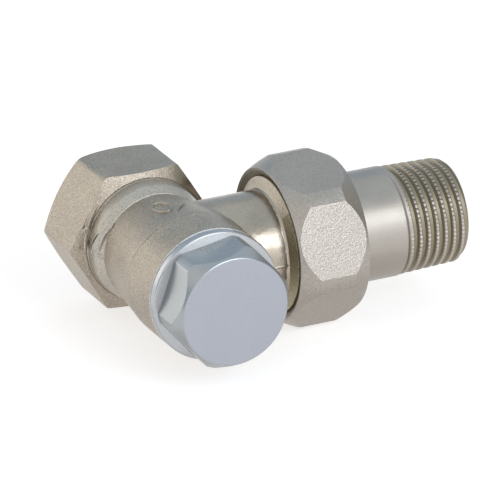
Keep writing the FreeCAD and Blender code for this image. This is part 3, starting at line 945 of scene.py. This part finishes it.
def shoulder_side(finish, zero_at, one_at):
    """1 on one side of the shoulder's face, parted by a slanting line of painted light and shade.
    """
    along_tail, along_cap, up = place_of(finish)
    face = band(finish, along_tail, SHOULDER_REAR, SHOULDER_FRONT[::-1])
    return face * smooth_step(finish, up - along_cap * SHADOW_SLOPE, zero_at, one_at)


def painted_lit_shoulder(finish):
    """1 on the lit side of the shoulder's face, lighter as painted light."""
    return shoulder_side(finish, -0.8, 0.2)


def painted_shaded_shoulder(finish):
    """1 on the rest of the shoulder's face, olive as painted shade."""
    return shoulder_side(finish, 0.2, -0.8)


def painted_collar_sheen(finish):
    """1 on the turned collar between the hexagon and the neck, lightened as a painted sheen."""
    along_tail, along_cap, _ = place_of(finish)
    ring = band(finish, along_cap, (HEX_END + 0.3, HEX_END + 0.6), (COLLAR_END, COLLAR_END - 0.3))
    return ring * smooth_step(finish, along_tail, 13.0, 12.0)


def painted_rim_highlight(finish):
    """1 on the barrel's chamfered rim, lightened as a painted highlight."""
    along_tail, along_cap, up = place_of(finish)
    radius = distance_from_axis(along_tail, up)
    chamfer = along_cap + (radius - BARREL_RADIUS + RIM_INSET) * RIM_DEPTH - barrel_rim
    near_rim = smooth_step(finish, along_cap, barrel_rim - RIM_DEPTH, barrel_rim - 0.5)
    return smooth_step(finish, chamfer, -0.08, -0.03) * near_rim


# %% Places on the nut, the tail and the cap
def painted_mouth_shade(finish):
    """Nearly 1 inside the nut's mouth, for a browner painted shade."""
    _, along_cap, up = place_of(finish)
    depth = NUT_MOUTH - distance_from_axis(along_cap, up)
    return smooth_step(finish, depth, 0.0, 0.5) * 0.85


def painted_groove_shade(finish):
    """Nearly 1 at the bottom of the tail's grooves, 0 on its crests, for a painted shade."""
    along_tail, along_cap, up = place_of(finish)
    crest = TAIL_CREST - (along_tail - THREAD_EDGE) * THREAD_TAPER
    depth = smooth_step(finish, crest - distance_from_axis(along_cap, up), 0.06, 0.2)
    return depth * smooth_step(finish, along_tail, tail_end - 14.5, tail_end - 13.2) * 0.85


def cap_flange(finish):
    """1 on the cap's flange, lightened as a painted highlight."""
    _, along_cap, _ = place_of(finish)
    return smooth_step(finish, along_cap, FLANGE_RIM + 0.5, FLANGE_RIM + 0.35)


def painted_cap_side_shade(finish):
    """1 on the cap's flats and turned cone as painted shade, 0 on its flange and end face."""
    _, along_cap, _ = place_of(finish)
    rise = (FLANGE_RIM + 0.35, FLANGE_RIM + 0.5)
    return band(finish, along_cap, rise, (cap_front - 0.03, cap_front - 0.12))


# %% Nickel, chrome, brass and steel
forging_finish = metal(
    "sandy_nickel_forging", (181, 171, 156), (160, 151, 138), grain=0.36, grain_height=0.13,
    roughness=0.4, gloss=turned_places, specks=0.5, shades=(
        # Painted light and shade: the shoulder's face is lighter on one side and olive on the
        # other.
        (painted_lit_shoulder, (218, 209, 194)), (painted_shaded_shoulder, (176, 168, 140)),
        # Painted light: the collar is lighter as a painted sheen, the rim's chamfer as a painted
        # highlight.
        (painted_collar_sheen, (192, 186, 175)), (painted_rim_highlight, (206, 208, 210)),
    ))
bar_finish = metal(
    "grainy_nickel_bar", (176, 169, 161), (166, 160, 152), grain=0.36, grain_height=0.075,
    # Painted shade: a browner tone inside the nut's mouth.
    roughness=0.34, specks=0.3, shades=((painted_mouth_shade, (128, 122, 104)),))
turned_finish = metal(
    "satin_turned_nickel", (176, 170, 162), (167, 161, 153), grain=0.2, grain_height=0.006,
    # Painted shade: a browner tone in the thread's grooves and the knurl's notches.
    roughness=0.37, shades=((painted_groove_shade, (142, 133, 112)),))
cap_finish = metal(
    "matt_chrome", (170, 173, 181), (168, 171, 179), grain=0.15, grain_height=0.0015,
    roughness=0.28, dulling=0.0,
    # Painted light and shade on the cap: a lighter flange and darker flats and cone.
    shades=((cap_flange, (179, 181, 183)), (painted_cap_side_shade, (165, 169, 171))))
brass_finish = metal(
    "plain_brass", (222, 190, 118), (206, 172, 100), grain=0.2, grain_height=0.004, roughness=0.28)
steel_finish = metal(
    "spring_steel", (176, 176, 178), (160, 160, 164), grain=0.2, grain_height=0.004,
    roughness=0.32)
METALS = (forging_finish, bar_finish, turned_finish, cap_finish, brass_finish, steel_finish)
print("metals", [finish.material.name for finish in METALS])

# %% [markdown]
# The seals are black rubber: nearly black, not shiny, with a very fine grain. The pieces inside
# the valve keep their CAD meshes, since only their finish is missing. They come into sight when
# the cap and the union are unscrewed.

# %% Rubber
rubber_finish = Finish("seal_rubber", Metallic=0.0, Roughness=0.55)
rubber_grain = grains(rubber_finish, 0.15)
rubber_finish.feed(
    Base_Color=blend(
        rubber_finish, rubber_grain, (0.018, 0.018, 0.019, 1), (0.035, 0.035, 0.036, 1)),
    Normal=relief(rubber_finish, rubber_grain, 0.004),
)
print("rubber", rubber_finish.material.name)

# %% Dress every piece
forging_finish.dress(body)
bar_finish.dress(nut)
turned_finish.dress(tail)
cap_finish.dress(cap)
INNER = {
    brass_finish: ["bonnet", "regulating_spindle", "throttle_plug", "memory_screw"],
    rubber_finish: ["bonnet_o_ring", "seat_seal", "spindle_o_ring_lower", "spindle_o_ring_upper",
                    "memory_o_ring", "cap_o_ring", "tailpiece_o_ring"],
    steel_finish: ["retaining_ring"],
}
for finish, names in INNER.items():
    for name in names:
        finish.dress(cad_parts[name])
print("inner pieces dressed", sum(len(names) for names in INNER.values()))

# %% [markdown]
# The stage is a plain pale floor under soft lamps. Plated metal is only as good as what it
# mirrors. A wide soft lamp in front gives the long highlights, and two weaker ones lift the right
# side and the edges behind. The white room gives the pale flats, and four cards in grey and pale
# blue keep the faces that mirror them from washing out. A fifth card under the valve is a painted
# shadow, which shiny faces see in place of the floor's shadow. The cards show only in reflections
# and hold back no light.


# %% Rays that should see the white room
def seen(tree):
    """1 for rays from the camera, and for what metal and glass mirror or let through."""
    path = tree.node("LightPath").socket.node.outputs
    camera_ray, glossy_ray, through_ray = [
        Signal(tree.tree, path[name])
        for name in ("Is Camera Ray", "Is Glossy Ray", "Is Transmission Ray")
    ]
    indirect = glossy_ray.sum("MAXIMUM", glossy_ray, through_ray)
    return camera_ray.sum("MAXIMUM", camera_ray, indirect)


# %% Floor
FLOOR_GAP = 0.0001
floor_place = (0, -0.029, cad_box[0][2] - FLOOR_GAP)
floor_shape = bmesh.new()
bmesh.ops.create_grid(
    floor_shape, x_segments=1, y_segments=1, size=3.0, matrix=Matrix.Translation(floor_place))
floor = to_object("floor", floor_shape)
floor_finish = Finish(
    "pale_floor", Base_Color=(0.8, 0.8, 0.8, 1), Roughness=1.0, Specular_IOR_Level=0.0,
    Emission_Strength=0.6)
floor_finish.feed(
    Emission_Color=blend(floor_finish, seen(floor_finish), (0, 0, 0, 1), (1, 1, 1, 1)))
floor_finish.dress(floor)
print("floor at", floor_place[2])

# %% Surroundings
world = bpy.data.worlds.new("studio")
bpy.context.scene.world = world
room = NodeTree(world)
white = room.node("Background", {"Color": (1, 1, 1, 1)})
grey = room.node("Background", {"Color": (0.5, 0.5, 0.51, 1)})
both = room.node("MixShader", {0: seen(room), 1: grey, 2: white})
room_end = room.tree.nodes.new("ShaderNodeOutputWorld")
room.tree.links.new(both.socket, room_end.inputs["Surface"])
print("surroundings", world.name)

# %% Lamps
TARGET = Vector((0.012, -0.03, 0))


def facing_matrix(direction, distance):
    """A place off the valve with its Z axis pointing away from the valve."""
    away = Vector(direction).normalized()
    turn = away.to_track_quat("Z", "Y").to_matrix().to_4x4()
    return Matrix.Translation(TARGET + away * distance) @ turn


def panel(name, direction, distance, width, height, strength, colour):
    """A soft panel lamp that faces the valve. strength is its brightness, where 1 is white."""
    lamp = bpy.data.lights.new(name, "AREA")
    lamp.shape, lamp.size, lamp.size_y = "RECTANGLE", width, height
    lamp.color = colour
    lamp.energy = strength * math.pi * width * height
    holder = bpy.data.objects.new(name, lamp)
    holder.matrix_world = facing_matrix(direction, distance)
    holder.visible_camera = False
    bpy.context.scene.collection.objects.link(holder)


panel("front_softbox", (0.24, -0.84, 0.48), distance=0.6, width=0.36, height=0.30,
      strength=3.25, colour=(0.88, 0.94, 1.02))
panel("front_right_fill", (0.38, -0.92, 0.07), distance=0.62, width=0.30, height=0.16,
      strength=0.62, colour=(0.94, 0.98, 1.04))
panel("left_behind", (-0.52, 0.84, 0.16), distance=0.6, width=0.35, height=0.35,
      strength=0.74, colour=(1.0, 0.93, 0.84))


# %% Cards
def card(name, direction, distance, width, height, colour):
    """A card of one colour that only shiny surfaces see."""
    shape = bmesh.new()
    bmesh.ops.create_grid(shape, x_segments=1, y_segments=1, size=0.5)
    bmesh.ops.scale(shape, verts=shape.verts, vec=(width, height, 1))
    shape.transform(facing_matrix(direction, distance))
    sheet = to_object(name, shape)
    sheet.visible_camera = sheet.visible_diffuse = False
    sheet.visible_shadow = sheet.visible_transmission = False
    look = Finish(name, Base_Color=(0, 0, 0, 1), Roughness=1.0, Specular_IOR_Level=0.0,
                  Emission_Color=(*colour, 1), Emission_Strength=1.0)
    look.dress(sheet)
    print(name, "colour", colour)


card("card_above", (0.1, 0.15, 0.98), 0.5, 0.9, 0.62, (0.76, 0.85, 0.93))
card("card_behind", (0.35, 0.85, 0.42), 0.5, 0.9, 0.36, (0.52, 0.62, 0.73))
card("card_right", (0.95, -0.25, 0.25), 0.45, 0.75, 0.36, (0.42, 0.43, 0.42))
card("card_left", (-0.95, -0.3, 0.25), 0.45, 0.45, 0.3, (0.62, 0.68, 0.72))
# A painted shadow: a darker card under the valve, seen by shiny faces in place of the floor's
# shadow.
card("painted_shadow_card", (0, 0, -1), 0.01648, 0.085, 0.05, (0.83, 0.81, 0.80))

# %% [markdown]
# The camera looks along the cap from a little above and to the left of it. It stands far off with
# a very long lens, so that near and far pieces keep nearly the same scale, as on a catalogue page.

# %% Camera
CAMERA_RIGHT = Vector((0.9068, -0.4206, -0.0267))
CAMERA_UP = Vector((0.182, 0.3335, 0.925))
CAMERA_BACK = Vector((-0.3802, -0.8437, 0.379))
CAMERA_DISTANCE = 1627.5
FOCAL_LENGTH = 616.6
lens = bpy.data.cameras.new("camera")
lens.lens, lens.sensor_width, lens.clip_end = FOCAL_LENGTH, 36.0, 20.0
camera = bpy.data.objects.new("camera", lens)
bpy.context.scene.collection.objects.link(camera)
back = CAMERA_BACK.normalized()
right = (CAMERA_RIGHT - back * CAMERA_RIGHT.dot(back)).normalized()
aim = CENTRE + CAMERA_RIGHT * 14.186 + CAMERA_UP * 2.464
place = aim + CAMERA_BACK * CAMERA_DISTANCE
turn = Matrix((right, back.cross(right), back)).transposed().to_4x4()
camera.matrix_world = Matrix.Translation(place * MILLIMETRE) @ turn
bpy.context.scene.camera = camera
bpy.context.scene.view_settings.view_transform = "Standard"
print("camera at", [round(side, 3) for side in camera.matrix_world.translation])
